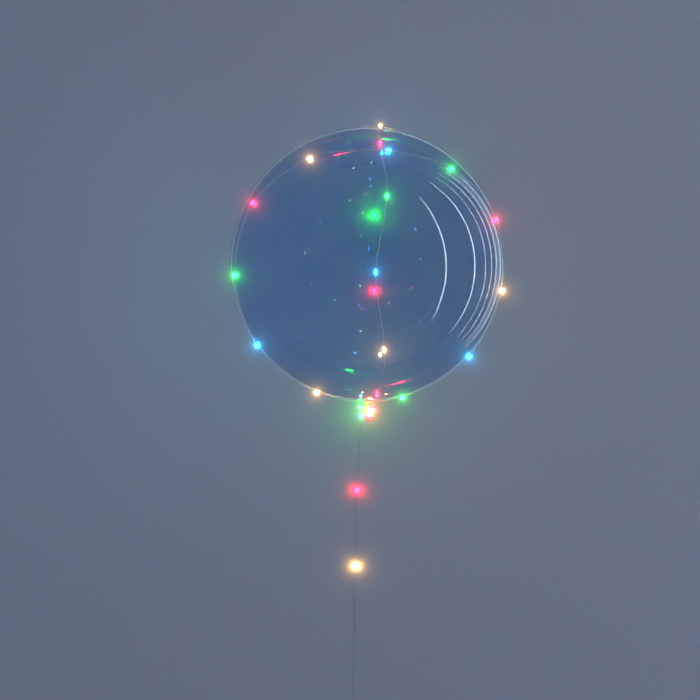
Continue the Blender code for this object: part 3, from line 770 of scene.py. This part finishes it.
def rest_film(shape):
    """Flattens the film on its rest spot, and dents it over the strand that passes under it."""
    rows = [RING_TWO_ENDS[0], *RING_TWO, RING_TWO_ENDS[1]]
    ways = [ring_two_direction(*blend_between(rows, REST_ROW, step / REST_STEPS))
            for step in range(REST_STEPS + 1)]
    strand = [over_film(way, STANDOFF + WIRE_RADIUS) for way in ways]
    middle = over_film(ring_two_direction(*blend_between(rows, REST_ROW, REST_SHARE)), 0.0).x
    for offset in DENT_CUTS:
        low_faces = [face for face in shape.faces if face.calc_center_median().z < DENT_CUT_HEIGHT]
        edges = {edge for face in low_faces for edge in face.edges}
        corners = {vert for face in low_faces for vert in face.verts}
        bmesh.ops.bisect_plane(shape, geom=[*low_faces, *edges, *corners], dist=1e-6,
                               plane_co=(middle + offset, 0.0, 0.0), plane_no=(1.0, 0.0, 0.0))
    for vert in shape.verts:
        if vert.co.z > REST_TOP:
            continue
        outward = vert.co - CENTRE
        vert.co = CENTRE + outward.normalized() * BALLOON_RADIUS
        vert.co.z = max(vert.co.z, REST_HEIGHT)
        near = min(math.hypot(vert.co.x - point.x, vert.co.y - point.y) for point in strand)
        if near < DENT_HALF_WIDTH:
            vert.co.z = max(vert.co.z, WIRE_DIAMETER + 2 * GAP)


def make_film(finish, gathered):
    """The balloon's film as one thin wall, gathered at the neck and flat where it rests."""
    shape = bmesh.new()
    corners = [shape.verts.new((radius, 0.0, along)) for radius, along in film_profile()]
    edges = [shape.edges.new(pair) for pair in zip(corners, corners[1:])]
    bmesh.ops.spin(shape, geom=corners + edges, axis=(0, 0, 1), cent=(0, 0, 0), angle=math.tau,
                   steps=FILM_SEGMENTS, use_merge=True, use_duplicate=False)
    bmesh.ops.remove_doubles(shape, verts=shape.verts, dist=1e-7)
    gather_shape(shape)
    on_its_side = Matrix.Rotation(-math.pi / 2, 3, "X")
    bmesh.ops.rotate(shape, cent=(0, 0, 0), matrix=on_its_side, verts=shape.verts)
    bmesh.ops.translate(shape, vec=CENTRE, verts=shape.verts)
    rest_film(shape)
    bmesh.ops.recalc_face_normals(shape, faces=shape.faces)
    for face in shape.faces:
        middle = face.calc_center_median()
        fold = pleat_ridge(math.atan2(CENTRE.z - middle.z, middle.x))
        if middle.y < -(BALLOON_RADIUS + GATHER_START + GATHER_SPREAD * fold):
            face.material_index = 1
    film = add_piece("balloon_film", shape, finish, smooth_angle=180.0)
    film.data.materials.append(gathered)
    wall = film.modifiers.new("film_wall", "SOLIDIFY")
    wall.thickness = FILM_THICKNESS
    wall.offset = -1.0
    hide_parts("balloon")


def side_directions(points):
    """A steady sideways direction at each point of a path, turned as little as the path allows."""
    last = len(points) - 1
    ways = [(points[min(i + 1, last)] - points[max(i - 1, 0)]).normalized() for i in range(len(points))]
    side = ways[0].orthogonal().normalized()
    sides = []
    for way in ways:
        side = (side - way * side.dot(way)).normalized()
        sides.append(side.copy())
    return ways, sides


def twisted_pair(name, points, finish):
    """Two thin strands twisted round a path, as one mesh."""
    ways, sides = side_directions(points)
    data = bpy.data.curves.new(name + "_strands", "CURVE")
    data.dimensions = "3D"
    data.bevel_depth = STRAND_RADIUS
    data.bevel_resolution = 1
    data.use_fill_caps = True
    for strand in range(2):
        spline = data.splines.new("POLY")
        spline.points.add(len(points) - 1)
        run = 0.0
        for index, point in enumerate(points):
            if index:
                run += (point - points[index - 1]).length
            turn = math.tau * run / TWIST_PITCH + strand * math.pi
            offset = sides[index] * math.cos(turn) + ways[index].cross(sides[index]) * math.sin(turn)
            spline.points[index].co = (*(point + offset * STRAND_OFFSET), 1.0)
    guide = bpy.data.objects.new(name + "_strands", data)
    bpy.context.collection.objects.link(guide)
    mesh = bpy.data.meshes.new_from_object(guide.evaluated_get(bpy.context.evaluated_depsgraph_get()))
    bpy.data.objects.remove(guide, do_unlink=True)
    bpy.data.curves.remove(data)
    mesh.name = name
    mesh.materials.clear()
    mesh.materials.append(finish)
    mesh.shade_smooth()
    made = bpy.data.objects.new(name, mesh)
    bpy.context.collection.objects.link(made)
    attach(made, "root")
    return made


def springy(points, seats):
    """Small kinks that a thin wire keeps, away from its lamps and from the floor."""
    ways, sides = side_directions(points)
    bent = []
    for index, point in enumerate(points):
        near = min((point - seat).length for seat in seats)
        free = share_of_way(near, *FREE_OF_LAMP) * share_of_way(point.z, *FREE_OF_FLOOR)
        if (point - CENTRE).length >= BALLOON_RADIUS + ON_FILM:
            free = 0.0
        across = ways[index].cross((point - CENTRE).normalized())
        sway = sum(noise.noise(point * waves) * reach for waves, reach in KINKS)
        bent.append(point + across * sway * free)
    return bent


def node_axis(node):
    """Middle and long direction of a small turned solid."""
    verts = [vert.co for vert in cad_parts[node].data.vertices]
    low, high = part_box(node)
    middle = (Vector(low) + Vector(high)) / 2
    far = max(verts, key=lambda co: (co - middle).length)
    ring = [co - middle for co in verts if (co - far).length < LAMP_LENGTH / 2]
    along = sum(ring, Vector())
    return middle, along.normalized()


def make_lamps(finishes):
    """A lit drop of resin on each seat of the string."""
    drops = {}
    for node in sorted(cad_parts):
        if not node.startswith("lamp_"):
            continue
        colour_name = node.split("_")[2]
        middle, along = node_axis(node)
        shape = bmesh.new()
        bmesh.ops.create_uvsphere(shape, u_segments=LAMP_SIDES, v_segments=LAMP_ROWS, radius=1.0)
        glow = shape.verts.layers.float.new("glow")
        for vert in shape.verts:
            height = vert.co.z
            vert[glow] = max(0.0, 1.0 - abs(height)) ** 0.5
            waist = LAMP_RADIUS * (1.0 - LAMP_THINNER * abs(height))
            vert.co = Vector((vert.co.x * waist, vert.co.y * waist, height * LAMP_LENGTH / 2))
        turn = along.to_track_quat("Z", "Y").to_matrix()
        bmesh.ops.rotate(shape, cent=(0, 0, 0), matrix=turn, verts=shape.verts)
        bmesh.ops.translate(shape, vec=middle, verts=shape.verts)
        drop = add_piece("resin_" + node, shape, finishes[colour_name],
                         smooth_angle=180.0)
        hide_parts(node)
        drops[node] = (drop, middle)
    return drops


def softened_copy(node, name, finish, width):
    """A finished copy of a solid, with its sharp edges rounded."""
    shape = bmesh.new()
    shape.from_mesh(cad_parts[node].data)
    bmesh.ops.remove_doubles(shape, verts=shape.verts, dist=1e-6)
    bmesh.ops.dissolve_limit(shape, angle_limit=math.radians(1.0), verts=shape.verts, edges=shape.edges)
    piece = add_piece(name, shape, finish, smooth_angle=30.0)
    rounding = piece.modifiers.new("soft_edges", "BEVEL")
    rounding.width = width
    rounding.segments = 3
    rounding.limit_method = "ANGLE"
    rounding.angle_limit = math.radians(35)
    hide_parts(node)
    return piece


def make_floor(finish):
    shape = bmesh.new()
    bmesh.ops.create_grid(shape, x_segments=1, y_segments=1, size=FLOOR_SIDE / 2)
    mesh = bpy.data.meshes.new("pale_floor")
    shape.to_mesh(mesh)
    shape.free()
    mesh.materials.append(finish)
    floor = bpy.data.objects.new("pale_floor", mesh)
    bpy.context.collection.objects.link(floor)


set_camera()
set_lights()
set_glow()
bpy.context.scene.view_settings.view_transform = "Standard"
mottle = mottle_group()
wire = wire_material(mottle)
pale_plastic = plastic_material("case_plastic", mottle, CASE_LOW, CASE_HIGH, roughness=0.38)
dark_plastic = plastic_material("soft_dark_plastic", mottle, SOFT_LOW, SOFT_HIGH, roughness=0.55)
lamps = make_lamps({name: lamp_material(name, colour) for name, colour in LAMP_COLOURS.items()})

lead_path = evenly(lead_points(), PATH_STEP)
lead = twisted_pair("free_lead", lead_path, wire)
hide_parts("lead_wire", "lead_coil", "lead_end")
case = softened_copy("battery_case", "battery_case_shell", pale_plastic, width=0.0004)
lid = softened_copy("battery_lid", "battery_case_lid", pale_plastic, width=0.0003)
grommet = softened_copy("lead_grommet", "lead_grommet_boss", dark_plastic, width=0.0002)
tie = softened_copy("coil_tie", "coil_tie_band", dark_plastic, width=0.0001)

string_route = (start_turn_route()
                + ring_route(RING_ONE, RING_ONE_ENDS, ring_one_direction, no_lift)
                + crossing_turn_route()
                + ring_route(RING_TWO, RING_TWO_ENDS, ring_two_direction, crossing_lift)
                + winding_route())
lamp_places = [middle for _, middle in lamps.values()]
string_path = springy(evenly(threaded(string_route), PATH_STEP), lamp_places)
string = twisted_pair("light_string", string_path, wire)
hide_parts("light_wire")

make_film(film_material(mottle), gathered_material(mottle))
make_floor(floor_material())
